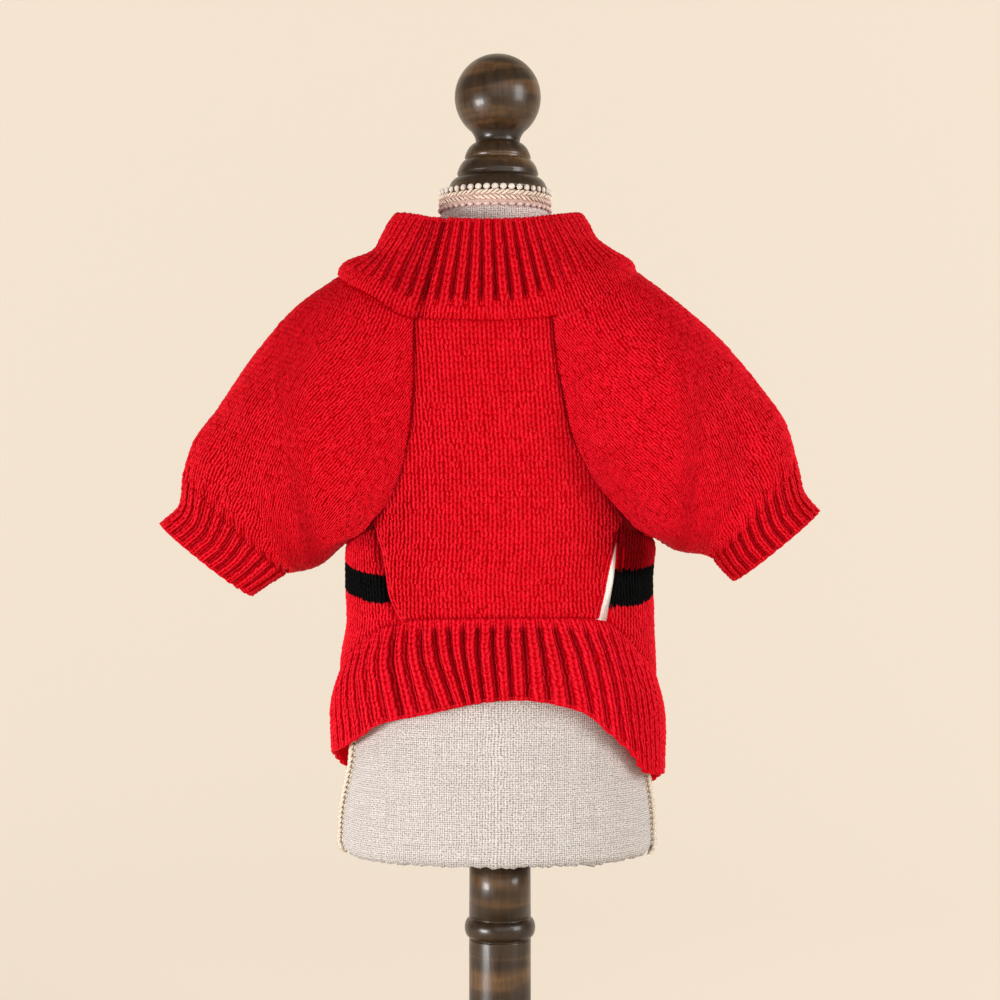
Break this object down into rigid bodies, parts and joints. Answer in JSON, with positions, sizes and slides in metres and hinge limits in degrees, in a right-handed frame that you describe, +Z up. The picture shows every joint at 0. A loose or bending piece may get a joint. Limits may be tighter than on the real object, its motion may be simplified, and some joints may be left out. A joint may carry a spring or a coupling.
{
  "type": "dog sweater on dress form",
  "caption": "Raglan dog sweater in red knit with ribbed collar, cuffs and hem and a black stripe round the back, on a small linen dress form with turned wood cap, pole and round base.",
  "frame": {"origin": "centre of the flat underside of the round base, where the form stands", "axes": "+Z up along the pole, -Y out of the belly panel, +X towards the side with the open slit"},
  "size_m": [0.2968, 0.144, 0.481],
  "materials": {
    "belly_panel": "matt red plain knit",
    "back_panel": "matt red plain knit with a black stripe",
    "sleeve_left": "matt red plain knit",
    "sleeve_right": "matt red plain knit",
    "cuff_left": "matt red rib knit",
    "cuff_right": "matt red rib knit",
    "collar": "matt red rib knit",
    "hem_band": "matt red rib knit",
    "form_torso": "natural linen stretched over foam",
    "neck_trim": "woven cotton braid",
    "neck_cap": "dark walnut stain, satin lacquer",
    "stand_pole": "dark walnut stain, satin lacquer",
    "stand_base": "dark walnut stain, satin lacquer"
  },
  "bodies": {
    "root": {"belly_panel": "belly_panel", "back_panel": "back_panel", "sleeve_left": "sleeve_left", "sleeve_right": "sleeve_right", "cuff_left": "cuff_left", "cuff_right": "cuff_right", "collar": "collar", "hem_band": "hem_band", "form_torso": "form_torso", "neck_trim": "neck_trim", "neck_cap": "neck_cap", "stand_pole": "stand_pole", "stand_base": "stand_base"}
  },
  "joints": []
}
